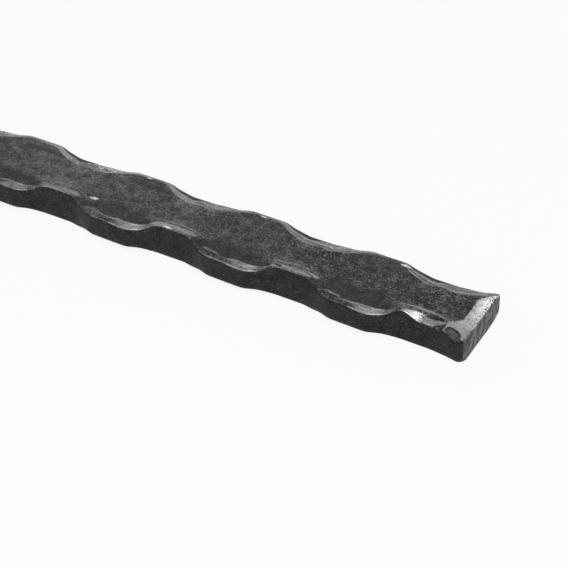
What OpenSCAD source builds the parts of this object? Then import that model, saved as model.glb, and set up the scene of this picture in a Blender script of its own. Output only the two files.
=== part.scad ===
// Hammered flat bar: one length of black steel flat whose two edges are forged
// into regular waves. A round die presses both edges in at the necks. The four
// corners of the broad places between them are hammered down into shallow dents,
// each with a steeper crescent along its rim. The bar lies on a wide face:
// X runs along it, Y across it, the middle of the underside is the origin, and
// the cut end with the set distance to its first neck is at +X.

/* [Bar] */
// Length of the bar, as it is sold
length = 1000; // [200:1:1500]
// Thickness over the raised lips of the two wide faces
thickness = 8; // [7:0.1:12]
// Depth that each wide face is hollowed between its lips
hollow_d = 0.35; // [0.1:0.05:0.5]

/* [Edge waves] */
// Width across the broad places
broad_w = 21; // [18:0.1:26]
// Width across the necks
neck_w = 14.1; // [12:0.1:16.5]
// Distance from one neck to the next
pitch = 32; // [28:0.5:40]
// Length of the round press at each neck, on the line of the broad edges
press_l = 20; // [16:0.5:22]
// Length of the eased shoulder where a press runs out
ease_l = 3.4; // [1:0.1:5]

/* [Corner dents] */
// Reach of a dent from the rim towards the middle of the bar
dent_reach = 6.2; // [5.2:0.1:7.5]
// Depth of a dent where it passes the line of the necks
dent_d = 0.3; // [0.1:0.05:0.5]
// Length of a dent along the bar, on the line of the necks
dent_l = 23; // [16:0.5:26]

/* [Rim crescents] */
// Depth of a broad place's rim below the wide face
rim_d = 1.4; // [0.8:0.1:1.6]
// Steepness of the crescent that slopes down to the rim, in degrees
rim_angle = 45; // [35:1:60]
// Radius of the round that the crescent follows, seen from above
rim_r = 60; // [50:1:90]

/* [Neck facets] */
// Width of the worn facet on the lip, in the middle of a neck
facet_w = 1.7; // [0.8:0.1:2.4]
// Depth of the facet at the edge
facet_d = 0.5; // [0.2:0.1:1]
// Length of the facet along the bar
facet_l = 12.6; // [8:0.2:18]

/* [Cut ends] */
// Distance from the cut at +X to the middle of the first neck
first_neck = 12; // [4:0.5:28]
// Length of the top face that the shear blade rolled over at each cut
roll_l = 3; // [1:0.1:5]
// Depth of the roll-over at the cut
roll_d = 1; // [0.3:0.1:1.5]

/* [Hidden] */
clear = 2;      // how far a cutting tool stands clear of the bar
lip_w = 0.2;    // flat left on a lip between its facet and the hollow
round_fn = 120;

// Every neck, from one beyond the +X end to one beyond the -X end
neck_x = [for (x = length / 2 - first_neck + pitch; x > -length / 2 - pitch; x = x - pitch) x];

// Every broad place lies midway between two necks
broad_x = [for (x = neck_x) x - pitch / 2];

// The edge press is a cylinder whose chord is press_l on the line of the broad edges
edge_d = (broad_w - neck_w) / 2;
press_r = arc_radius(press_l, edge_d);

// An eased shoulder is the straight cut over the outer part of a press
ease_from = (press_l + ease_l) / 2;
ease_to = (press_l - ease_l) / 2;
ease_d = edge_d - rise_at(press_r, ease_to);

// The dent die slopes evenly, and its radius makes the dent dent_l long where it
// crosses the line of the necks
dent_slope = dent_d / (dent_reach - edge_d);
dent_r = arc_radius(dent_l, dent_d) + dent_slope * edge_d;

// The hollow of a wide face runs between the inner ends of the facets
hollow_r = arc_radius(neck_w - 2 * (facet_w + lip_w), hollow_d);

// Radius of the circle whose chord is that long and whose arc is that high
function arc_radius(chord, rise) = (chord * chord / 4 + rise * rise) / (2 * rise);

// How far a circle of radius r has risen at a distance x from its lowest point
function rise_at(r, x) = r - sqrt(r * r - x * x);

// A point carried on past b, on the line from a, by the distance `on` in y
function past(a, b, on) = b + (b - a) * on / abs(b[1] - a[1]);

// What the edge press takes off the far edge at one neck
module neck_press() {
    translate([0, neck_w / 2 + press_r])
        circle(r = press_r, $fn = round_fn);
    for (side = [0, 1])
        mirror([side, 0])
            polygon([
                past([ease_to, broad_w / 2 - ease_d], [ease_from, broad_w / 2], clear),
                [ease_from, broad_w / 2],
                [ease_to, broad_w / 2 - ease_d],
                [ease_to, broad_w / 2 + clear]]);
}

// The bar with its edges pressed in at every neck
module waved_stock() {
    linear_extrude(thickness)
        difference() {
            square([length, broad_w], center = true);
            for (x = neck_x, side = [0, 1])
                translate([x, 0])
                    mirror([0, side])
                        neck_press();
        }
}

// Repeats a tool for the far top corner at all four corners of the section
module each_corner() {
    for (side = [0, 1], top = [0, 1])
        mirror([0, side, 0])
            translate([0, 0, top * thickness])
                mirror([0, 0, 1 - top])
                    children();
}

// An arc of a ring turned about an axis across the bar. It presses a slope into
// the corner, from `depth` at the edge to nothing at the reach.
module cross_die(edge, r, span, depth, reach) {
    rim = [r, 0];
    foot = [r - depth, reach];
    outer = past(foot, rim, clear);
    inner = past(rim, foot, clear / 2);
    back = inner[0] - clear;
    turn = 2 * asin((span / 2 + clear) / r);
    translate([0, edge, r - depth])
        rotate([90, 0, 0])
            rotate_extrude(angle = turn, start = 270 - turn / 2, $fn = round_fn)
                polygon([[back, outer[1]], outer, inner, [back, inner[1]]]);
}

module dent() {
    cross_die(broad_w / 2, dent_r, dent_l, dent_slope * dent_reach, dent_reach);
}

module facet() {
    cross_die(neck_w / 2, arc_radius(facet_l, facet_d), facet_l, facet_d, facet_w);
}

// An arc of a ring turned about an upright axis, which cuts the crescent that
// slopes down to the rim of a broad place
module crescent() {
    rim = [rim_r, -rim_d];
    top = [rim_r - rim_d / tan(rim_angle), 0];
    outer = past(top, rim, clear / 2);
    inner = past(rim, top, clear / 2);
    turn = 2 * asin((pitch - edge_d * 2) / 2 / rim_r);
    translate([0, broad_w / 2 - rim_r, 0])
        rotate_extrude(angle = turn, start = 90 - turn / 2, $fn = round_fn)
            polygon([inner, outer, [outer[0], inner[1]]]);
}

// Long rolls that hollow the two wide faces
module hollows() {
    for (z = [hollow_d - hollow_r, thickness - hollow_d + hollow_r])
        translate([-length / 2 - clear, 0, z])
            rotate([0, 90, 0])
                cylinder(r = hollow_r, h = length + 2 * clear, $fn = 2 * round_fn);
}

// What the shear blade took off the top face at each cut
module rolled_ends() {
    for (side = [0, 1])
        mirror([side, 0, 0])
            translate([length / 2, broad_w / 2 + clear, thickness])
                rotate([90, 0, 0])
                    linear_extrude(broad_w + 2 * clear)
                        polygon([
                            [-roll_l, 0],
                            [0, -roll_d],
                            [clear, -roll_d],
                            [clear, clear],
                            [-roll_l, clear]]);
}

module hammered_flat_bar() {
    color("dimgray")
        difference() {
            difference() {
                difference() {
                    difference() {
                        difference() {
                            waved_stock();
                            hollows();
                        }
                        for (x = broad_x) translate([x, 0, 0]) each_corner() dent();
                    }
                    for (x = broad_x) translate([x, 0, 0]) each_corner() crescent();
                }
                for (x = neck_x) translate([x, 0, 0]) each_corner() facet();
            }
            rolled_ends();
        }
}

hammered_flat_bar();
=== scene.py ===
import math

import bpy
import numpy as np
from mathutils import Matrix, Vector


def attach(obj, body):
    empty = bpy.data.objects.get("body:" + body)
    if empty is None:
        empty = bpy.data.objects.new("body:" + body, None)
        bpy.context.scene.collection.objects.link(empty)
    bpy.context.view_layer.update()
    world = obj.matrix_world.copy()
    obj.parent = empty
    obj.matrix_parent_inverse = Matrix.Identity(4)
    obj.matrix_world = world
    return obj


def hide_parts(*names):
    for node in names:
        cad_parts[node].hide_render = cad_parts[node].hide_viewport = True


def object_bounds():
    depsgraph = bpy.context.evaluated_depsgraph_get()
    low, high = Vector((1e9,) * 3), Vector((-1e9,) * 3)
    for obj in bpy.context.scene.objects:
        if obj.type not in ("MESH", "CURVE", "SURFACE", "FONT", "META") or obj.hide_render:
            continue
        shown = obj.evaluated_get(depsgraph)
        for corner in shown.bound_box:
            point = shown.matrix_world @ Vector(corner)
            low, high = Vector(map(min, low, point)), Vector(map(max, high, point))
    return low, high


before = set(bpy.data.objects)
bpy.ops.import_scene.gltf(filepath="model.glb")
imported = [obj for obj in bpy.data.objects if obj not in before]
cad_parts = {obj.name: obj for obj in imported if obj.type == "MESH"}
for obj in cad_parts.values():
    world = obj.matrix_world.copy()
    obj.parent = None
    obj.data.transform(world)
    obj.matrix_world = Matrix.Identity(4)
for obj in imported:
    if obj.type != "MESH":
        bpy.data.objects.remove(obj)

# A hammered-edge steel flat bar, one metre of it. Sizes are in metres. x runs
# along the bar to the sheared end at +x, y across it, z up from the underside.
MM = 0.001
CAD_LOW, CAD_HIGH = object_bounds()
END_X = CAD_HIGH.x
THICKNESS = CAD_HIGH.z - CAD_LOW.z

# The near side is at -y, the far side at +y. Where a value is given for both
# sides, the near one comes first, and for both wide faces, the lower one.
NEAR, FAR = 0, 1
LOW, TOP = 0, 1

# Edge waves
PITCH = 32 * MM
FIRST_NECK = 12 * MM  # from the sheared end to the middle of the first neck
NECK_HALF = (7.05 * MM, 7.17 * MM)
BROAD_HALF = (10.4 * MM, 10.64 * MM)
NECK_LEAN = (0.22 * MM, -0.55 * MM)  # how far out the near edge stands there: bottom, top
NEAR_SLANT = 0.05       # share that a near broad place's bulge loses towards -x

# Differences between the blows
SHIFT = 0.3 * MM        # most that a broad place lies off its place
SWELL = 0.1 * MM        # most that its half width is off
DEPTH_SPREAD = 0.08     # most that a dent's depth is off, as a share
WEAR_FROM, WEAR_TO = 0.8, 1.1  # how bare the worn metal is
EVEN_PLACES = 5         # from the sheared end, the places that were struck evenly

# Corner dents: a smooth scoop, and a crescent along the rim that is steeper
# and deeper towards +x
SCOOP_EDGE_Y = 3 * MM   # where a scoop reaches furthest in
SCOOP_MIDDLE = 1.5 * MM  # how far towards +x that is from the middle of the place
SCOOP_FLARE_X = 10.8 * MM  # distance along the bar in which it runs out to the neck
SCOOP_MOST_FLARE = 1.2  # where its limit stops, as a share of the way to the neck's edge
SCOOP_D = 0.4 * MM
SCOOP_CURVE = 1.6       # how much rounder than a flat slope it is
# The smoothed scale in a scoop is painted darker as shade, for the scoop tilting away from the light.
SMOOTH_SHADE_SPREAD = 1.5     # how much faster its smooth scale comes in than its depth
SMOOTH_SHADE_FROM = 0.28      # share of the way out at which that scale is full
SMOOTH_SHADE_FADE = 0.35      # share of the bare metal's width over which it fades out
CRESCENT_W = 1.65 * MM
CRESCENT_END_W = 3.2 * MM
CRESCENT_TAIL_W = 0.6 * MM  # what its -x tail adds to the width
CRESCENT_WAIST_W = 0.5 * MM  # what its waist takes off
CRESCENT_D = 0.65 * MM
CRESCENT_THIN_D = 0.25 * MM
EVEN_CRESCENT_D = 0.88 * MM  # on the far side and on the lower face
CRESCENT_LEAST = 0.2    # share of the width that is left beyond its ends
RIM_LEAST_W = 0.5 * MM  # least distance to the edge from the lip and from a crescent's inner line

# Bare metal on a crescent
SHINE_W = 1.55 * MM
SHINE_TAIL_W = 0.7 * MM
SHINE_BELLY_W = 0.3 * MM
SHINE_LEAST = 0.12      # share of the width that is left beyond its ends
SHINE_SPREAD = 3        # how much faster it comes in than the depth of the dent
SHINE_FADE = 0.4        # share of its wear that it loses towards +x

# Raised lips along the necks, each worn to a lens-shaped facet
HOLLOW_D = 0.3 * MM
RUBBED_W = 4 * MM       # how far in from a lip its scale is rubbed
LIP_SLOPE_W = 1.15 * MM
LIP_DROP = 0.18 * MM    # how much lower the lip is along the broad places
RIDGE_Y = 3.95 * MM     # line of the lip at mid neck
RIDGE_FLARE = 1.4 * MM  # how far out it runs by RIDGE_FLARE_X from there
RIDGE_FLARE_X = 8.5 * MM
FACET_D = 0.06 * MM
BAND_LIMIT_Y = 6.9 * MM  # outer limit of the bare band on the facet
BAND_TAPER = 1.2 * MM   # how much narrower the band is at its +x end
BAND_WEAR = 0.85
WORN_END_RUBBED = 0.35  # what the worn end of a near facet adds to the rubbed scale

# The blow nearest the sheared end fell harder on the near side
HARD_FACET_D = 1.75 * MM
STRUCK_SHINE = 1.4
SMEARED_SHINE = 0.95
BLOW_SLANT = 0.45       # slope of the blow's inner limit, towards -x
BLOW_STEP = 1.3 * MM    # how far out the limit steps towards +x
BLOW_BLUR = 0.3 * MM    # how far the bare metal fades on each side of the limit
POCKET_FROM_CUT = 3.1 * MM
POCKET_HALF_L = 2.3 * MM
POCKET_REACH = 2 * MM
POCKET_D = 0.9 * MM
POCKET_FLOOR_AT = 1.9   # where its slope ends, between 1 on its outline and 2

# Band of bare metal along the far rim, inside a dark line of scale that is widened and painted darker
# as shade along some stretches
FAR_BAND_W = 1.9 * MM
FAR_BAND_HIGHLIGHT_W = 0.6 * MM  # what its stretches of painted highlight add to the width
FAR_BAND_WEAR = 0.96
FAR_BAND_DULLED = 0.35  # what the broad places lose of that
FAR_BAND_HIGHLIGHT = 0.17  # what the stretches of painted highlight gain
FAR_BAND_FADE = 0.3     # share that it loses towards its inner limit
FAR_BAND_START = 0.3    # band_at on the inner limit
DARK_LINE_W = 0.25 * MM
SHADED_LINE_W = 0.85 * MM  # what the stretches of painted shade add to the dark line
BATTERED_D = 0.055 * MM  # how deep the rim is pressed there
BATTERED_RIM_W = 0.9 * MM  # how far in that reaches
SHADED_RIM_W = 1 * MM  # how far in the scale is smoothed and painted darker as shade there

# Sheared end
ROLL_L = 3.2 * MM
ROLL_NEAR_L = 3 * MM    # what the near corner adds to that
ROLL_LEAST_L = 0.05 * MM
ROLL_D = 0.9 * MM
ROLL_FAR_LOSS, ROLL_NEAR_LOSS = 0.85, 0.75  # shares of the depth lost at the edges
ROLL_CURVE = 1.4        # how much rounder than a flat slope it is
TORN_L = 1 * MM         # how far the torn edge of the cut reaches over the top face
TORN_SHARE = 0.35       # how broken that edge looks at the cut
CORNER_R = 1.8 * MM     # worn near bottom corner of the cut
CORNER_D = 0.8 * MM

EDGE_R = 0.14 * MM      # worn radius of the sharp edges
SIDE_OUT = 0.6 * EDGE_R  # how far the edge faces stand proud of the rims
SIDE_BULGE = 0.12 * MM  # how much further they do at mid height
STREAKS_FOLLOW = (0.3, 0.75)  # share of the half width over which streaks turn along the edge

# Stretches along the bar, in mm from the middle of a broad place: where each
# rises from 0, is full, starts to fall and is back at 0
BROAD = ((-13.5, -4, 4, 12.6), (-13, -3.5, 4, 13.6))
STEEP_DENT = (-12.6, -10, 7.4, 11.8)
EVEN_DENT = (-11.8, -6.3, 6, 12.4)
CRESCENT = (-11, -7.5, 10, 12)
CRESCENT_TAIL = (-8, -5, -4.2, -2)
CRESCENT_WAIST = (0, 3, 3.5, 6)
SHINE = (-9.6, -6.4, 7, 13)
SHINE_BELLY = (0, 2, 4, 7)
RIM_WEAR = (-10.5, -7, 9, 11.5)
# The shaded rim and the shade strip are painted shade on the far side
SHADED_RIM = (4, 8, 14, 17.5)
DULLED = (-8, -4, 2, 6)
SHADE_STRIP = (-4, -1, 8, 11)

# Slopes along the bar, counted the same way: where each leaves 0 and reaches 1
SLANT = (-8, 3)
CRESCENT_FLARE = (5.2, 9)
CRESCENT_DEEPER = (-1, 3)
SHINE_FADED = (6, 10.5)
# Painted highlight on the +x half of a crescent, which faces the light
SHINE_LIT_FILL = (-1, 2.5)
NECKNESS = (7, 13)      # this one and the next are the same on both sides of the middle
NECK_RIDGE = (6.5, 10.5)

# Stretches from the middle of a neck, then slopes from there
FACET = (-6.2, -4.6, 4.5, 8.5)
HARD_FACET = (-4.6, 0.5, 4.8, 7.8)
STRUCK = (-5.4, -3.2, -0.4, 2.8)
SMEARED = (-0.5, 1.5, 8, 10)
BAND_STRETCH = (-8, -5, 4, 8.5)
LINE_STRETCH = (-8, -5, 6, 9.5)
WORN_END = (-12, -8, -6, -1)
# Painted highlight on the far band, +x of mid neck, where the slope faces the light
HIGHLIGHT_STRETCH = (-1, 3.5, 9, 13)
BLOW_STEPS_OUT = (0, 1.6)
BAND_NARROWS = (1, 7)

# A stretch and slopes across the bar, in mm outwards from the middle line
STRIP_ACROSS = (5, 5.8, 6.8, 7.5)
ROLL_FAR_END = (4.5, 10.6)
ROLL_NEAR_START = (2.4, 5.6)
ROLL_SHALLOWER = (3, 8)

# Stray marks on the upper face, painted glints of highlight and dark pits: distance from the cut, y,
# length and width, in mm
GLINT_MARKS = (
    (99.2, -4.8, 2.2, 1.1), (77.9, -6.2, 2.2, 0.6), (60.4, 8.9, 1.6, 0.6), (22.9, 8.6, 2.6, 0.9),
    (92.2, 8.9, 1.4, 0.5),
)
PITS = ((48.3, -5.9, 1.8, 0.7), (12.2, -2.6, 1.5, 1.3), (8.8, -5, 3.2, 0.5), (101.4, -4.3, 2, 1))

# Mesh: stations along the bar, and steps between the key lines across a half face
FINE_L = 145 * MM
FINE_STEP = 0.4 * MM
COARSE_STEP = 1.45 * MM
CUT_L = 14 * MM         # stretch beside the cut that has twice as many stations
CLOSE_TO_CUT = (0.05 * MM, 0.12 * MM)
STEPS = ((1, 2, 4, 2, 3), (2, 5, 7, 3, 5))
SIDE_STEPS = 6
LEAST_GAP = 0.02 * MM   # least distance between a crescent's inner line and the lip
SIDE_MARGIN = 0.008     # how far from the rims an edge face starts, as a share
CAP_RINGS = (0.85, 0.7, 0.5, 0.25)  # sizes of the rings on an end face, as shares

rng = np.random.default_rng(16)


def smoothstep(low, high, value):
    t = np.clip((value - low) / (high - low), 0, 1)
    return t * t * (3 - 2 * t)


def slope(stretch, value):
    """0 before a stretch given in mm, rising smoothly to 1 after it."""
    start, end = stretch
    return smoothstep(start * MM, end * MM, value)


def window(stretch, value):
    """1 along a stretch given in mm, falling smoothly to 0 outside it."""
    rise_from, rise_to, fall_from, fall_to = (end * MM for end in stretch)
    return smoothstep(rise_from, rise_to, value) * (1 - smoothstep(fall_from, fall_to, value))


class Waves:
    """Where a station lies in the wave pattern, with each blow a little different."""

    def __init__(self):
        self.first_broad = END_X - FIRST_NECK + PITCH / 2
        self.first_neck = END_X - FIRST_NECK
        count = int(math.ceil(2 * END_X / PITCH)) + 3
        self.shift = SHIFT * rng.uniform(-1, 1, (count, 2))
        self.swell = SWELL * rng.uniform(-1, 1, (count, 2))
        self.depth = 1 + DEPTH_SPREAD * rng.uniform(-1, 1, (count, 2, 2))
        self.wear = rng.uniform(WEAR_FROM, WEAR_TO, (count, 2, 2))
        self.facet_wear = rng.uniform(WEAR_FROM, WEAR_TO, (count, 2, 2))
        self.shift[:EVEN_PLACES] = 0
        self.swell[:EVEN_PLACES] = 0
        self.strike_odd_places()

    def strike_odd_places(self):
        """The few places that stand out, counted from the sheared end."""
        # The sheared end cuts the first one in two, and its near dents hardly show
        self.swell[0, NEAR] = -1.4 * MM
        self.depth[0] = (0.3, 0), (1, 0.9)
        # The last even one lies a little towards the far side
        self.shift[EVEN_PLACES - 1, NEAR] = 0.2 * MM
        self.swell[EVEN_PLACES - 1] = -0.3 * MM, 0.25 * MM
        # Two necks have their far rim rubbed barer
        self.facet_wear[3:5, FAR, TOP] = 1.15, 1.1

    def number(self, x, first):
        return np.clip(np.round((first - x) / PITCH).astype(int), 0, len(self.shift) - 1)

    def broad(self, x, side):
        """Signed distance from the nearest broad place, and that place's number."""
        k = self.number(x, self.first_broad)
        return x - (self.first_broad - k * PITCH) - self.shift[k, side], k

    def neck(self, x):
        """Signed distance from the nearest neck, and that neck's number."""
        k = self.number(x, self.first_neck)
        return x - (self.first_neck - k * PITCH), k


waves = Waves()

# Below, x and y are a point's place, with y counted outwards from the middle line
# on both sides. p is its distance along the bar from its broad place's middle, m
# the same from its neck's, and inset its distance inwards from the edge.


def half_width(p, side, swell):
    """Distance from the middle line to the edge."""
    slant = 1 if side == FAR else 1 - NEAR_SLANT + NEAR_SLANT * slope(SLANT, p)
    neck = NECK_HALF[side]
    return neck + (BROAD_HALF[side] + swell - neck) * window(BROAD[side], p) * slant


def crescent_width(p):
    narrowed = CRESCENT_WAIST_W * window(CRESCENT_WAIST, p)
    flared = (CRESCENT_END_W - CRESCENT_W) * slope(CRESCENT_FLARE, p)
    widened = CRESCENT_TAIL_W * window(CRESCENT_TAIL, p)
    along = np.maximum(window(CRESCENT, p), CRESCENT_LEAST)
    return (CRESCENT_W - narrowed + flared + widened) * along


def shine_width(p):
    """Width of the bare metal on a crescent, which has a pinch before its widest stretch."""
    widened = SHINE_TAIL_W * window(CRESCENT_TAIL, p) + SHINE_BELLY_W * window(SHINE_BELLY, p)
    return (SHINE_W + widened) * np.maximum(window(SHINE, p), SHINE_LEAST)


def crescent_depth(p, steep):
    if not steep:
        return EVEN_CRESCENT_D
    return CRESCENT_THIN_D + (CRESCENT_D - CRESCENT_THIN_D) * slope(CRESCENT_DEEPER, p)


def facet_reach(m, first):
    """1 along a neck's worn facet, 0 outside it. The first one was struck harder."""
    return np.where(first, window(HARD_FACET, m), window(FACET, m))


def neck_line(m):
    """Line of the lip along a neck."""
    return RIDGE_Y + RIDGE_FLARE * (m / RIDGE_FLARE_X) ** 2


def ridge_y(p, m, edge):
    """Line of the lip, which is also the inner limit of the dents."""
    flare = np.minimum(((p - SCOOP_MIDDLE) / SCOOP_FLARE_X) ** 2, SCOOP_MOST_FLARE)
    dent_limit = SCOOP_EDGE_Y + (NECK_HALF[NEAR] - SCOOP_EDGE_Y) * flare
    mix = slope(NECK_RIDGE, np.abs(p))
    return np.minimum(dent_limit * (1 - mix) + neck_line(m) * mix, edge - RIM_LEAST_W)


def hard_blow(y, m):
    """Bare metal on the first near facet: struck bright, then smeared towards +x."""
    shine = np.maximum(STRUCK_SHINE * window(STRUCK, m), SMEARED_SHINE * window(SMEARED, m))
    limit = RIDGE_Y + BLOW_SLANT * np.maximum(-m, 0) + BLOW_STEP * slope(BLOW_STEPS_OUT, m)
    return shine * smoothstep(limit - BLOW_BLUR, limit + BLOW_BLUR, y)


def pocket(x, inset):
    """A small deep dent by the near corner of the cut: 1 on its outline, 2 at its deepest."""
    along = (END_X - x - POCKET_FROM_CUT) / POCKET_HALF_L
    reach = POCKET_REACH * np.sqrt(np.clip(1 - along**2, 0, 1))
    return np.clip(1 + (reach - inset) / POCKET_REACH, 0, 2)


def pressed_shaded_rim(p):
    """1 where the far rim is pressed and painted darker as shade: from a broad place's +x shoulder to
    past mid neck.
    """
    # Just past mid neck, p is already counted from the next broad place
    after = np.where(p < -PITCH / 2 + 2 * MM, p + PITCH, p)
    return window(SHADED_RIM, after)


def worn_corner(x, inset):
    """How much the near bottom corner of the cut has lost."""
    to_cut = np.clip(1 - (END_X - x) / CORNER_R, 0, 1)
    return CORNER_D * to_cut**2 * np.clip(1 - inset / CORNER_R, 0, 1)


# At each cut the shear blade turned the top face over. The bar's two cuts are the
# same cut turned round, so cut_y is counted the other way at the one at -x.


def roll_over(x, cut_y):
    """How far, 0 to 1, the top face is turned over."""
    length = ROLL_L * (1 - slope(ROLL_FAR_END, cut_y)) + ROLL_NEAR_L * slope(ROLL_NEAR_START, -cut_y)
    return np.clip(1 - (END_X - np.abs(x)) / np.maximum(length, ROLL_LEAST_L), 0, 1)


def roll_depth(cut_y):
    far_loss = ROLL_FAR_LOSS * slope(ROLL_SHALLOWER, cut_y)
    near_loss = ROLL_NEAR_LOSS * slope(ROLL_SHALLOWER, -cut_y)
    return ROLL_D * (1 - far_loss) * (1 - near_loss)


def worn_edge(inset):
    """How far the worn radius lies below the corner of a sharp edge."""
    across = np.clip(EDGE_R - inset, 0, None)
    return EDGE_R - np.sqrt(np.clip(EDGE_R**2 - across**2, 0, None))


def stations():
    fine = np.arange(0, FINE_L, FINE_STEP)
    between = np.arange(FINE_STEP / 2, CUT_L, FINE_STEP)
    coarse = np.linspace(FINE_L, 2 * END_X, int((2 * END_X - FINE_L) / COARSE_STEP))
    return END_X - np.unique(np.concatenate([fine, between, coarse, CLOSE_TO_CUT]))


def levels(key_lines, steps):
    """Distances across one half face that follow the key lines, with steps between each pair."""
    rows = []
    for a, b, n in zip(key_lines, key_lines[1:], steps):
        rows += [a + (b - a) * k / n for k in range(n)]
    return np.concatenate(rows + [key_lines[-1]], axis=1)


# Every point carries its place, then the fields that its colour comes from: how
# much of it is rubbed scale, smoothed scale painted darker as shade, freshly
# sheared metal, the broken face of the cut and an edge face, which is painted
# darker as shade, then where it lies across a bare band (0 at the ridge, 1 at its
# outer limit), how bare that is and how bare the thin line at the ridge is, where it
# lies across a crescent (0 at the inner limit of its bare metal, 1 at the edge), how
# bare that is and how far painted highlight fills it in, how far it lies in the pocket,
# and a distance across the edge streaks
FIELD_NAMES = (
    "rubbed", "smooth_shaded", "sheared", "broken", "upright", "band_at", "band", "line",
    "rim_at", "rim", "lit_fill", "pocket_at", "across",
)
PLACE = 3  # numbers that the place takes up
FIELDS = PLACE + len(FIELD_NAMES)
(
    RUBBED, SMOOTH_SHADE, SHEARED, BROKEN, UPRIGHT, BAND_AT, BAND, LINE,
    RIM_AT, RIM, LIT_FILL, POCKET_AT, ACROSS,
) = range(PLACE, FIELDS)


class HalfFace:
    """One half of a wide face: a row of points from the edge to the middle at every station.

    What is known of a station is a column, which meets the rows of points.
    """

    def __init__(self, x, side, face):
        self.side, self.face = side, face
        self.steep = side == NEAR and face == TOP
        self.x = x[:, None]
        self.p, broad = waves.broad(self.x, side)
        self.m, neck = waves.neck(self.x)
        self.first = (neck == 0) & self.steep
        self.depth = waves.depth[broad, side, face]
        self.wear = waves.wear[broad, side, face]
        self.facet_wear = waves.facet_wear[neck, side, face]
        self.neckness = slope(NECKNESS, np.abs(self.p))
        self.edge = half_width(self.p, side, waves.swell[broad, side])
        if side == NEAR:
            self.edge = self.edge + NECK_LEAN[face] * self.neckness
        self.ridge = ridge_y(self.p, self.m, self.edge)
        self.width = crescent_width(self.p)
        self.dent = window(STEEP_DENT if self.steep else EVEN_DENT, self.p) * self.depth
        self.lay_rows()

    def lay_rows(self):
        """Place the points between the edge and the middle, and say where each lies."""
        crescent_y = self.edge - np.maximum(self.width, RIM_LEAST_W)
        key_lines = (
            self.edge,
            self.edge - 0.5 * EDGE_R,
            np.maximum(crescent_y, self.ridge + LEAST_GAP),
            self.ridge,
            self.ridge - LIP_SLOPE_W,
            0 * self.edge,
        )
        self.y = levels(key_lines, STEPS[self.face])
        self.inset = self.edge - self.y
        self.outward = np.clip((self.y - self.ridge) / (self.edge - self.ridge), 0, 1)
        self.shine_at = 1 - self.inset / shine_width(self.p)
        self.sign = 2 * self.side - 1
        self.true_y = self.y * self.sign
        self.cut_y = self.true_y * np.sign(self.x)

    def points(self):
        point = np.zeros(self.y.shape + (FIELDS,))
        drop = self.drop()
        following = smoothstep(*STREAKS_FOLLOW, self.y / self.edge)
        point[..., 0] = self.x
        point[..., 1] = self.true_y
        point[..., 2] = THICKNESS - drop if self.face == TOP else drop
        point[..., ACROSS] = (self.y + (NECK_HALF[NEAR] - self.edge) * following) * self.sign
        self.mark_scale(point)
        if self.side == NEAR:
            self.mark_near_band(point)
            self.mark_crescent(point)
        else:
            self.mark_far_band(point)
        if self.face == TOP:
            self.mark_cut(point)
        return point

    def drop(self):
        """How far the surface lies inside the plane of the wide face."""
        at_ridge = LIP_DROP * (1 - self.neckness)
        lip = smoothstep(self.ridge - LIP_SLOPE_W, self.ridge, self.y)
        rim = np.clip(1 - self.inset / self.width, 0, 1)
        facet_d = np.where(self.first, HARD_FACET_D, FACET_D)
        drop = at_ridge + (HOLLOW_D - at_ridge) * (1 - lip)
        drop += SCOOP_D * self.dent * (1 - (1 - self.outward) ** SCOOP_CURVE)
        drop += crescent_depth(self.p, self.steep) * self.dent * rim
        drop += facet_d * facet_reach(self.m, self.first) * self.outward + worn_edge(self.inset)
        if self.side == NEAR and self.face == LOW:
            drop += worn_corner(self.x, self.inset)
        if self.side == FAR:
            pressed = np.clip(1 - self.inset / BATTERED_RIM_W, 0, 1)
            drop += BATTERED_D * pressed_shaded_rim(self.p) * pressed
        if self.steep:
            drop += POCKET_D * smoothstep(1, POCKET_FLOOR_AT, pocket(self.x, self.inset))
        if self.face == TOP:
            drop += roll_depth(self.cut_y) * roll_over(self.x, self.cut_y) ** ROLL_CURVE
        return drop

    def mark_scale(self, point):
        """Rubbed scale along the lips, and smoothed scale in the dents, painted darker as shade."""
        worn_end = WORN_END_RUBBED * window(WORN_END, self.m) if self.side == NEAR else 0
        along_lip = smoothstep(self.ridge - RUBBED_W, self.ridge, self.y)
        dented = np.clip(SMOOTH_SHADE_SPREAD * self.dent, 0, 1) * smoothstep(0, SMOOTH_SHADE_FROM, self.outward)
        beside_shine = 1 - smoothstep(0, SMOOTH_SHADE_FADE, self.shine_at)
        point[..., RUBBED] = (self.neckness + worn_end) * along_lip
        point[..., SMOOTH_SHADE] = dented * beside_shine

    def mark_near_band(self, point):
        """The lens-shaped band on a near facet, and the thin line at its ridge."""
        line_y = neck_line(self.m)
        narrowed = BAND_TAPER * slope(BAND_NARROWS, self.m)
        worn = BAND_WEAR * self.facet_wear * window(BAND_STRETCH, self.m)
        point[..., BAND_AT] = (self.y - line_y) / (BAND_LIMIT_Y - line_y - narrowed)
        point[..., BAND] = np.where(self.first, hard_blow(self.y, self.m), worn)
        point[..., LINE] = self.facet_wear * window(LINE_STRETCH, self.m)

    def mark_crescent(self, point):
        """The bare metal on a crescent, which fades where the dent hardly shows, with painted
        highlight on its +x half.
        """
        faded = 1 - SHINE_FADE * slope(SHINE_FADED, self.p)
        struck = np.minimum(self.depth * SHINE_SPREAD, 1)
        point[..., RIM_AT] = self.shine_at
        point[..., RIM] = self.wear * faded * struck * window(RIM_WEAR, self.p)
        point[..., LIT_FILL] = slope(SHINE_LIT_FILL, self.p)

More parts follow.
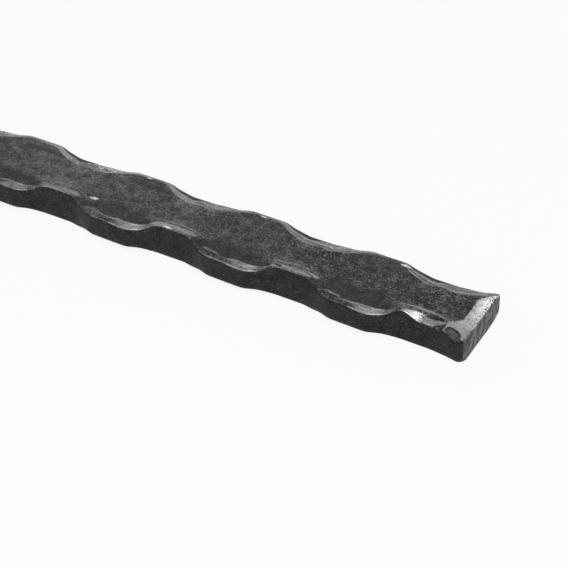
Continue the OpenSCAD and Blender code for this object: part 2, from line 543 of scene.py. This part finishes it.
    def mark_far_band(self, point):
        """The band along the far rim, and smoothed scale painted darker as shade on both sides of it.
        """
        shaded = pressed_shaded_rim(self.p)
        highlit = window(HIGHLIGHT_STRETCH, self.m)
        width = FAR_BAND_W + FAR_BAND_HIGHLIGHT_W * highlit
        inwards = (self.inset - DARK_LINE_W - SHADED_LINE_W * shaded) / width
        bare = FAR_BAND_WEAR - FAR_BAND_DULLED * window(DULLED, self.p) + FAR_BAND_HIGHLIGHT * highlit
        point[..., BAND_AT] = FAR_BAND_START + (1 - FAR_BAND_START) * (1 - inwards)
        point[..., BAND] = self.facet_wear * bare * (1 - FAR_BAND_FADE * np.clip(inwards, 0, 1))
        strip = window(STRIP_ACROSS, self.y) * window(SHADE_STRIP, self.p)
        # Painted shade: dark smoothed scale on the strip and the shaded rim stretches
        point[..., SMOOTH_SHADE] = strip + shaded * (self.inset < SHADED_RIM_W)

    def mark_cut(self, point):
        """The sheared metal at each cut, its torn edge, and the pocket beside the near corner."""
        point[..., SHEARED] = roll_over(self.x, self.cut_y)
        point[..., BROKEN] = TORN_SHARE * np.clip(1 - (END_X - np.abs(self.x)) / TORN_L, 0, 1)
        if self.steep:
            point[..., POCKET_AT] = pocket(self.x, self.inset)


def side_wall(upper, lower):
    """Points down an edge face, between the rims above and below it."""
    inner = np.linspace(0, 1, SIDE_STEPS + 1)[1:-1]
    t = np.concatenate([[SIDE_MARGIN], inner, [1 - SIDE_MARGIN]])
    rows = upper[:, None, :] * (1 - t)[None, :, None] + lower[:, None, :] * t[None, :, None]
    out = np.sign(upper[:, 1])[:, None]
    rows[:, :, 1] += out * (SIDE_OUT + SIDE_BULGE * (1 - (2 * t - 1) ** 2))[None, :]
    rows[:, :, RUBBED:] = 0
    # The edge faces are painted darker as shade in black_steel
    rows[:, :, UPRIGHT] = 1
    rows[:, :, ACROSS] = rows[:, :, 2] - THICKNESS
    return rows


def bar_rings():
    """The points of the bar's section at every station."""
    x = stations()
    near_top = HalfFace(x, NEAR, TOP).points()
    far_top = HalfFace(x, FAR, TOP).points()
    near_low = HalfFace(x, NEAR, LOW).points()
    far_low = HalfFace(x, FAR, LOW).points()
    near_side = side_wall(near_top[:, 0], near_low[:, 0])
    far_side = side_wall(far_top[:, 0], far_low[:, 0])
    return np.concatenate([
        near_top, far_top[:, ::-1][:, 1:], far_side,
        far_low, near_low[:, ::-1][:, 1:], near_side[:, ::-1],
    ], axis=1)


def strip_faces(start, next_start, around):
    """Faces between two rings of points."""
    faces = []
    for j in range(around):
        k = (j + 1) % around
        faces.append((start + j, next_start + j, next_start + k, start + k))
    return faces


def end_cap(ring, start, next_start, flip):
    """Points and faces that close one end with ever smaller rings."""
    around, fields = ring.shape
    middle = np.zeros(fields)
    middle[:PLACE] = ring[0, 0], 0, THICKNESS / 2
    points, faces = [], []
    for shrink in CAP_RINGS:
        inner = middle + (ring - middle) * shrink
        inner[:, BROKEN] = 1
        if shrink < CAP_RINGS[0]:
            inner[:, RUBBED:BROKEN] = 0
        points.append(inner)
        faces += [(a, d, c, b) for a, b, c, d in strip_faces(start, next_start, around)]
        start, next_start = next_start, next_start + around
    faces.append(tuple(start + j for j in range(around)))
    return points, [face[::-1] for face in faces] if flip else faces


def bar_mesh():
    rings = bar_rings()
    count, around, fields = rings.shape
    points = [rings.reshape(-1, fields)]
    faces = []
    for i in range(count - 1):
        faces += strip_faces(i * around, (i + 1) * around, around)
    for ring, start, flip in ((rings[0], 0, False), (rings[-1], (count - 1) * around, True)):
        cap_points, cap_faces = end_cap(ring, start, sum(map(len, points)), flip)
        points += cap_points
        faces += cap_faces
    table = np.concatenate(points)
    mesh = bpy.data.meshes.new("hammered_bar_skin")
    mesh.from_pydata(table[:, :PLACE].tolist(), [], faces)
    for name, values in zip(FIELD_NAMES[:-1], table[:, PLACE:].T.astype(np.float32)):
        mesh.attributes.new(name, "FLOAT", "POINT").data.foreach_set("value", values)
    flow = np.stack([table[:, 0], table[:, ACROSS], 0 * table[:, 0]], axis=1).astype(np.float32)
    mesh.attributes.new("flow", "FLOAT_VECTOR", "POINT").data.foreach_set("vector", flow.ravel())
    mesh.polygons.foreach_set("use_smooth", [True] * len(mesh.polygons))
    mesh.update()
    return mesh


def grey(value):
    return (value, value, value, 1)


class Shader:
    """A material's node tree, built a node at a time."""

    def __init__(self, name):
        self.material = bpy.data.materials.new(name)
        self.material.use_nodes = True
        self.tree = self.material.node_tree
        self.principled = self.tree.nodes["Principled BSDF"]
        self.output = self.tree.nodes["Material Output"]
        self.place = self.node("ShaderNodeTexCoord").outputs["Object"]

    def node(self, kind, **settings):
        made = self.tree.nodes.new(kind)
        for key, value in settings.items():
            setattr(made, key, value)
        return made

    def set(self, socket, value):
        if isinstance(value, bpy.types.NodeSocket):
            self.tree.links.new(value, socket)
        else:
            socket.default_value = value

    def attribute(self, name, output="Fac"):
        return self.node("ShaderNodeAttribute", attribute_name=name).outputs[output]

    def parts(self, vector):
        made = self.node("ShaderNodeSeparateXYZ")
        self.set(made.inputs[0], vector)
        return made.outputs

    def noise(self, scale, detail, roughness, stretch=(1, 1, 1), place=None):
        mapping = self.node("ShaderNodeMapping")
        self.set(mapping.inputs["Vector"], place or self.place)
        mapping.inputs["Scale"].default_value = stretch
        noise = self.node("ShaderNodeTexNoise")
        self.set(noise.inputs["Vector"], mapping.outputs[0])
        noise.inputs["Scale"].default_value = scale
        noise.inputs["Detail"].default_value = detail
        noise.inputs["Roughness"].default_value = roughness
        return noise.outputs[0]

    def math(self, operation, a, b):
        made = self.node("ShaderNodeMath", operation=operation)
        self.set(made.inputs[0], a)
        self.set(made.inputs[1], b)
        return made.outputs[0]

    def add(self, a, b, share=None):
        """a plus b, or plus that share of b."""
        return self.math("ADD", a, b if share is None else self.multiply(b, share))

    def subtract(self, a, b):
        return self.math("SUBTRACT", a, b)

    def multiply(self, a, b):
        return self.math("MULTIPLY", a, b)

    def larger(self, a, b):
        return self.math("MAXIMUM", a, b)

    def ramp(self, value, low, high, to_low=0.0, to_high=1.0):
        made = self.node("ShaderNodeMapRange", interpolation_type="SMOOTHSTEP")
        for socket, given in zip(made.inputs, (value, low, high, to_low, to_high)):
            self.set(socket, given)
        return made.outputs[0]

    def between(self, value, rise_from, rise_to, fall_from, fall_to):
        """1 between the two ramps, 0 outside them."""
        falling = self.ramp(value, fall_from, fall_to, 1.0, 0.0)
        return self.multiply(self.ramp(value, rise_from, rise_to), falling)

    def mix(self, factor, a, b):
        made = self.node("ShaderNodeMix", data_type="RGBA")
        self.set(made.inputs["Factor"], factor)
        self.set(made.inputs[6], a)
        self.set(made.inputs[7], b)
        return made.outputs[2]

    def tone(self, value, low, high, dark, light):
        """A grey that goes from dark to light as the value goes from low to high."""
        return self.mix(self.ramp(value, low, high), grey(dark), grey(light))

    def marks(self, places, ragged):
        """1 inside any of the given ovals, with a ragged outline, 0 outside."""
        x, y, z = self.parts(self.place)
        found = 0.0
        for from_cut, middle_y, length, width in places:
            u = self.multiply(self.subtract(x, END_X - from_cut * MM), 2 / (length * MM))
            v = self.multiply(self.subtract(y, middle_y * MM), 2 / (width * MM))
            far = self.add(self.add(self.multiply(u, u), self.multiply(v, v)), ragged)
            found = self.larger(found, self.ramp(far, *MARK_FADE))
        above = self.ramp(z, 0.5 * THICKNESS, 0.6 * THICKNESS)
        return self.multiply(found, above)


# Noises lie about this value. Shares of them make up the mottle of the steel, the
# wander of its bare metal and its bumps.
NOISE_MIDDLE = 0.5
MOTTLE_GRAIN, MOTTLE_PATCH, MOTTLE_STREAK, MOTTLE_FINE = 0.5, 0.28, 0.1, 0.12
WANDER_STREAK, WANDER_GRAIN = 1.1, 0.5
BUMP_GRAIN, BUMP_FINE, BUMP_STREAK = 0.7, 0.25, 0.5
BUMP_DISTANCE = 0.15 * MM
BUMP_STRENGTH = 0.6

# How strongly noise breaks up a surface or its outline
STRUCK_UNEVEN = 4
STEEP_PATCH, STEEP_UNEVEN = 0.6, 1.6
SHEARED_UNEVEN = 8 * MM  # for its painted highlight across the cut
CUT_UNEVEN = 0.5
BROKEN_RAGGED = 0.5
MARK_RAGGED = 5

# Tones of the steel: the range of the noise, then its dark and its light grey
CRISP_SCALE = (0.44, 0.62, 0.0, 0.092)
FADED_SCALE = (0.39, 0.65, 0.012, 0.155)
# Smoothed scale: painted shade, darker than the mottle around it.
SMOOTH_SHADED_SCALE = (0.39, 0.63, 0.003, 0.036)
BARE_METAL = (0.65, 0.95, 0.13, 0.28)
STEEP_METAL = (0.75, 1.35, 0.04, 0.25)
END_FACE = (0.43, 0.57, 0.02, 0.155)
POCKET_FLOOR = (0.4, 0.58, 0.01, 0.1)

# Single greys
RUBBED_GREY = 0.18
# Painted shade of the edge faces
UPRIGHT_SHADE_GREY = 0.011
STRUCK_GREY = 0.52
# The sheared highlight grey is painted highlight on the turned-over band; the sheared grey is the bare
# metal
SHEARED_GREY, SHEARED_HIGHLIGHT, SHEARED_SPECK = 0.32, 1.0, 0.2
# Painted highlight of the glints
GLINT_GREY = 0.7
PIT_GREY = 0.003
# Painted shadow line under the pocket's steep wall
POCKET_SHADOW_GREY = 0.002

# How much of the scale below them these cover at most
SMOOTH_SHADE_COVER = 0.85
UPRIGHT_SHADE_COVER = 0.35
STEEP_COVER = 0.85      # of the metal below it

RUBBED_LIFT = 0.08      # how much sooner rubbed scale turns pale
METAL_SHARE = 0.9       # how metallic the bare metal is
RIDGE_LINE_SHARE = 0.75  # how bare the line at a ridge is, beside the band

# Lines and bands across a bare band, by band_at, and across a crescent, by rim_at:
# where each rises from 0, is full, starts to fall and is back at 0
BARE_BAND = (0.2, 0.38, 0.94, 1.04)
RIDGE_LINE = (-0.13, -0.02, 0.02, 0.12)
INNER_LINE = (-0.3, 0.15, 0.15, 0.55)

# Ramps: where each starts and where it ends
OUTER_LINE = (0.7, 0.95)
LIT_FILL_FROM = (-0.25, 0.55)
TO_FADED = (0.38, 0.66)
TO_RUBBED = (0.52, 0.72)
TO_BARE = (0.3, 0.8)
TO_STRUCK = (1.1, 1.35)
TO_SHEARED = (0.04, 0.16)
TO_SHEARED_HIGHLIGHT = (-7 * MM, 7 * MM)
TO_BROKEN = (0.32, 0.5)
TO_POCKET = (1, 1.04)
TO_POCKET_FLOOR = (1.12, 1.35)

# Ramps, each with the values that it goes from and to
LIT_FILL_SOFTER = (0.2, 1, 1, 0.75)
LINES_LIT_GAIN = (0, 0.5, 0.65, 1.0)
SHEARED_TURNED = (0.1, 0.7, 0.25, 1.0)
SHEARED_SPECKS = (-0.12, 0.1, 0.6, 0.0)
ROUGH_TO_METAL = (0, 1, 0.55, 0.4)
GLOSS_TO_UPRIGHT = (0, 1, 0.25, 0.16)
BUMPS_TO_SMOOTH = (0, 1, 1, 0.3)
MARK_FADE = (0.5, 1.3, 1.0, 0.0)


class BlackSteel(Shader):
    """Mill scale, with bare metal where it was rubbed off, struck or sheared, and with painted shade
    and painted highlights.
    """

    def __init__(self):
        super().__init__("black_steel")
        flow = self.attribute("flow", "Vector")
        self.grain = self.noise(scale=2300, detail=3, roughness=0.6)
        self.fine = self.noise(scale=4200, detail=1, roughness=0.5)
        self.patch = self.noise(scale=420, detail=4, roughness=0.6)
        self.streak = self.noise(scale=1500, detail=3, roughness=0.6, stretch=(0.05, 1, 1), place=flow)
        coarse = self.add(self.multiply(self.grain, MOTTLE_GRAIN), self.patch, MOTTLE_PATCH)
        small = self.add(self.multiply(self.streak, MOTTLE_STREAK), self.fine, MOTTLE_FINE)
        self.mottle = self.add(coarse, small)
        self.uneven = self.subtract(self.mottle, NOISE_MIDDLE)
        outline = self.noise(scale=2600, detail=2, roughness=0.6)
        self.ragged = self.multiply(self.subtract(outline, NOISE_MIDDLE), MARK_RAGGED)
        self.upright = self.attribute("upright")
        # even: the smoothed scale and the edge faces, both painted darker as shade; their bumps are
        # also lower
        self.even = self.larger(self.attribute("smooth_shaded"), self.upright)
        self.sheared = self.attribute("sheared")
        self.paint()
        self.set(self.principled.inputs["Normal"], self.relief())

    def scale(self):
        """Mill scale: crisp or faded mottle on the wide faces; smoothed and painted darker as shade in
        the dents, along the far rim and on the edge faces.
        """
        drift = self.noise(scale=22, detail=1, roughness=0.5, stretch=(1, 0.3, 0.3))
        rubbed = self.add(self.mottle, self.attribute("rubbed"), RUBBED_LIFT)
        crisp, faded = self.tone(self.mottle, *CRISP_SCALE), self.tone(self.mottle, *FADED_SCALE)
        smooth_shaded = self.tone(self.mottle, *SMOOTH_SHADED_SCALE)
        colour = self.mix(self.ramp(drift, *TO_FADED), crisp, faded)
        colour = self.mix(self.ramp(rubbed, *TO_RUBBED), colour, grey(RUBBED_GREY))
        colour = self.mix(self.multiply(self.even, SMOOTH_SHADE_COVER), colour, smooth_shaded)
        # Painted shade: the edge faces are darkened further
        return self.mix(self.multiply(self.upright, UPRIGHT_SHADE_COVER), colour, grey(UPRIGHT_SHADE_GREY))

    def lens(self):
        """How bare a band is, with the thin line at its ridge."""
        band_at = self.attribute("band_at")
        band = self.multiply(self.between(band_at, *BARE_BAND), self.attribute("band"))
        line = self.multiply(self.between(band_at, *RIDGE_LINE), self.attribute("line"))
        return self.larger(band, self.multiply(line, RIDGE_LINE_SHARE))

    def crescent(self):
        """How bare a crescent is: two lines of worn metal along it, which painted highlight brightens,
        and fills in between them, on the +x half.
        """
        rim_at, lit_fill = self.attribute("rim_at"), self.attribute("lit_fill")
        lines = self.larger(self.between(rim_at, *INNER_LINE), self.ramp(rim_at, *OUTER_LINE))
        lines = self.multiply(lines, self.ramp(lit_fill, *LINES_LIT_GAIN))
        softened = self.multiply(lit_fill, self.ramp(rim_at, *LIT_FILL_SOFTER))
        lit_filling = self.multiply(self.ramp(rim_at, *LIT_FILL_FROM), softened)
        return self.multiply(self.larger(lines, lit_filling), self.attribute("rim"))

    def metal(self, lens, crescent, wander):
        """Bare metal: streaked on the bands, brighter where struck, grained on the crescents."""
        struck = self.ramp(self.add(lens, self.uneven, STRUCK_UNEVEN), *TO_STRUCK)
        grained = self.add(self.multiply(self.patch, STEEP_PATCH), self.uneven, STEEP_UNEVEN)
        steep = self.tone(self.add(grained, crescent), *STEEP_METAL)
        colour = self.mix(struck, self.tone(wander, *BARE_METAL), grey(STRUCK_GREY))
        return self.mix(self.multiply(crescent, STEEP_COVER), colour, steep)

    def sheared_metal(self):
        """The cut: bare sheared metal, with painted highlight towards the far side and where it is
        turned over further.
        """
        y = self.parts(self.place)[1]
        highlit = self.ramp(self.add(y, self.uneven, SHEARED_UNEVEN), *TO_SHEARED_HIGHLIGHT)
        turned = self.ramp(self.add(self.sheared, self.uneven), *SHEARED_TURNED)
        colour = self.mix(self.multiply(highlit, turned), grey(SHEARED_GREY), grey(SHEARED_HIGHLIGHT))
        return self.mix(self.ramp(self.uneven, *SHEARED_SPECKS), colour, grey(SHEARED_SPECK))

    def broken_metal(self):
        """The broken face of the cut and its torn edge: how much shows, and its colour."""
        broken = self.add(self.attribute("broken"), self.ragged, BROKEN_RAGGED)
        mottle = self.noise(scale=600, detail=4, roughness=0.7, stretch=(1, 1, 0.5))
        return self.ramp(broken, *TO_BROKEN), self.tone(mottle, *END_FACE)

    def pocket(self):
        """The pocket beside the cut, with a painted shadow line along its outline: how much shows, and
        its colour.
        """
        pocket_at = self.attribute("pocket_at")
        floor = self.tone(self.mottle, *POCKET_FLOOR)
        colour = self.mix(self.ramp(pocket_at, *TO_POCKET_FLOOR), grey(POCKET_SHADOW_GREY), floor)
        return self.ramp(pocket_at, *TO_POCKET), colour

    def paint(self):
        """Lay the surfaces over each other and set colour, metal and roughness."""
        lens, crescent = self.lens(), self.crescent()
        wander = self.add(self.multiply(self.streak, WANDER_STREAK), self.grain, WANDER_GRAIN)
        wander_middle = NOISE_MIDDLE * (WANDER_STREAK + WANDER_GRAIN)
        bare = self.add(self.larger(lens, crescent), self.subtract(wander, wander_middle))
        shown = self.ramp(bare, *TO_BARE)
        cut = self.ramp(self.add(self.sheared, self.uneven, CUT_UNEVEN), *TO_SHEARED)
        torn, end_face = self.broken_metal()
        in_pocket, pocket_colour = self.pocket()

        colour = self.mix(shown, self.scale(), self.metal(lens, crescent, wander))
        colour = self.mix(self.marks(PITS, self.ragged), colour, grey(PIT_GREY))
        # Painted highlight: small white glints
        colour = self.mix(self.marks(GLINT_MARKS, self.ragged), colour, grey(GLINT_GREY))
        colour = self.mix(cut, colour, self.sheared_metal())
        colour = self.mix(torn, colour, end_face)
        colour = self.mix(in_pocket, colour, pocket_colour)
        covered = self.larger(torn, in_pocket)
        metallic = self.multiply(self.larger(shown, cut), self.subtract(1.0, covered))
        inputs = self.principled.inputs
        self.set(inputs["Base Color"], colour)
        self.set(inputs["Metallic"], self.multiply(metallic, METAL_SHARE))
        self.set(inputs["Roughness"], self.ramp(metallic, *ROUGH_TO_METAL))
        self.set(inputs["Specular IOR Level"], self.ramp(self.upright, *GLOSS_TO_UPRIGHT))

    def relief(self):
        """Bumps of the grain and the streaks, which are lower on the smooth surfaces."""
        height = self.add(self.multiply(self.grain, BUMP_GRAIN), self.fine, BUMP_FINE)
        height = self.add(height, self.streak, BUMP_STREAK)
        height = self.multiply(height, self.ramp(self.even, *BUMPS_TO_SMOOTH))
        bump = self.node("ShaderNodeBump")
        bump.inputs["Strength"].default_value = BUMP_STRENGTH
        bump.inputs["Distance"].default_value = BUMP_DISTANCE
        self.set(bump.inputs["Height"], height)
        return bump.outputs[0]


bar = bpy.data.objects.new("hammered_bar_skin", bar_mesh())
bpy.context.scene.collection.objects.link(bar)
bar.data.materials.append(BlackSteel().material)
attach(bar, "root")
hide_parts("hammered_flat_bar")


# Floor and backdrop: white to the camera and in reflections, with a light shadow
FLOOR_SIZE = 30
FLOOR_GREY = 0.85
FLOOR_WHITE_SHARE = 0.88  # the rest of what is seen keeps the bar's shadow


def floor_white():
    s = Shader("floor_white")
    s.principled.inputs["Base Color"].default_value = grey(FLOOR_GREY)
    s.principled.inputs["Roughness"].default_value = 0.9
    s.principled.inputs["Specular IOR Level"].default_value = 0
    ray = s.node("ShaderNodeLightPath").outputs
    reflected = s.larger(ray["Is Glossy Ray"], ray["Is Transmission Ray"])
    seen = s.larger(ray["Is Camera Ray"], reflected)
    white = s.node("ShaderNodeEmission")
    white.inputs["Color"].default_value = grey(1)
    white.inputs["Strength"].default_value = 1
    mixed = s.node("ShaderNodeMixShader")
    s.set(mixed.inputs[0], s.multiply(seen, FLOOR_WHITE_SHARE))
    s.set(mixed.inputs[1], s.principled.outputs[0])
    s.set(mixed.inputs[2], white.outputs[0])
    s.set(s.output.inputs["Surface"], mixed.outputs[0])
    return s.material


bpy.ops.mesh.primitive_plane_add(size=FLOOR_SIZE)
floor = bpy.context.object
floor.name = "floor"
floor.data.materials.append(floor_white())


def white_world(strength):
    """An even light of this strength, which is seen as plain white."""
    world = bpy.data.worlds.new("studio")
    bpy.context.scene.world = world
    world.use_nodes = True
    tree = world.node_tree
    tree.nodes.clear()
    ray = tree.nodes.new("ShaderNodeLightPath").outputs
    seen = ray["Is Camera Ray"]
    for name in ("Is Glossy Ray", "Is Transmission Ray"):
        either = tree.nodes.new("ShaderNodeMath")
        either.operation = "MAXIMUM"
        tree.links.new(seen, either.inputs[0])
        tree.links.new(ray[name], either.inputs[1])
        seen = either.outputs[0]
    mixed = tree.nodes.new("ShaderNodeMixShader")
    tree.links.new(seen, mixed.inputs[0])
    for socket, level in ((mixed.inputs[1], strength), (mixed.inputs[2], 1)):
        sky = tree.nodes.new("ShaderNodeBackground")
        sky.inputs["Color"].default_value = grey(1)
        sky.inputs["Strength"].default_value = level
        tree.links.new(sky.outputs[0], socket)
    output = tree.nodes.new("ShaderNodeOutputWorld")
    tree.links.new(mixed.outputs[0], output.inputs["Surface"])


def softbox(name, place, aim, size, power):
    lamp = bpy.data.lights.new(name, "AREA")
    lamp.shape = "SQUARE"
    lamp.size = size
    lamp.energy = power
    made = bpy.data.objects.new(name, lamp)
    made.location = place
    made.rotation_euler = (Vector(aim) - Vector(place)).to_track_quat("-Z", "Y").to_euler()
    bpy.context.scene.collection.objects.link(made)


white_world(strength=0.5)
softbox("key", place=(0.9, -0.6, 1.1), aim=(0.45, 0, 0), size=0.8, power=9)

# Camera
AIM = Vector((453.75, -6.99, 4.0)) * MM
AZIMUTH, ELEVATION = math.radians(29.2), math.radians(38.99)
DISTANCE = 459.4 * MM
LENS, SENSOR_WIDTH = 127, 36  # in mm, as Blender takes them
level = math.cos(ELEVATION)
back = Vector((math.sin(AZIMUTH) * level, -math.cos(AZIMUTH) * level, math.sin(ELEVATION)))
cam_data = bpy.data.cameras.new("camera")
cam_data.lens = LENS
cam_data.sensor_width = SENSOR_WIDTH
camera = bpy.data.objects.new("camera", cam_data)
camera.location = AIM + back * DISTANCE
camera.rotation_euler = back.to_track_quat("Z", "Y").to_euler()
bpy.context.scene.collection.objects.link(camera)
bpy.context.scene.camera = camera
bpy.context.scene.view_settings.view_transform = "Standard"
